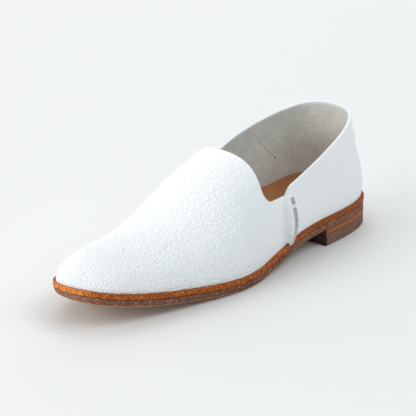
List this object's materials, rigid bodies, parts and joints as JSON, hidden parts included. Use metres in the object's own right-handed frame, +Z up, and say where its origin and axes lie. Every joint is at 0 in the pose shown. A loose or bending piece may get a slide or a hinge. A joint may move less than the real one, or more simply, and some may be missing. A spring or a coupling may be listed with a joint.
{
  "type": "slip-on shoe",
  "caption": "Low leather slip-on shoe for the left foot, with rounded toe, notched throat, standing side seams, layered sole and low stacked heel.",
  "frame": {"origin": "middle of the shoe's box, on the floor that it stands on", "axes": "+X towards the toe, +Y towards the wearer's left (the lateral side), +Z up"},
  "size_m": [0.259, 0.0802, 0.075],
  "materials": {
    "outsole": "matt, speckled grey-brown",
    "midsole": "raw rust-orange edge, slightly fibrous",
    "heel_top_lift": "matt, speckled brown",
    "upper": "white pebbled grain outside, taupe flesh side inside",
    "insole": "smooth tan-brown"
  },
  "bodies": {
    "root": {"outsole": "outsole", "midsole": "midsole", "heel_lift": "midsole", "heel_top_lift": "heel_top_lift", "upper": "upper", "insole": "insole", "seam_lateral": "upper", "seam_medial": "upper"}
  },
  "joints": []
}
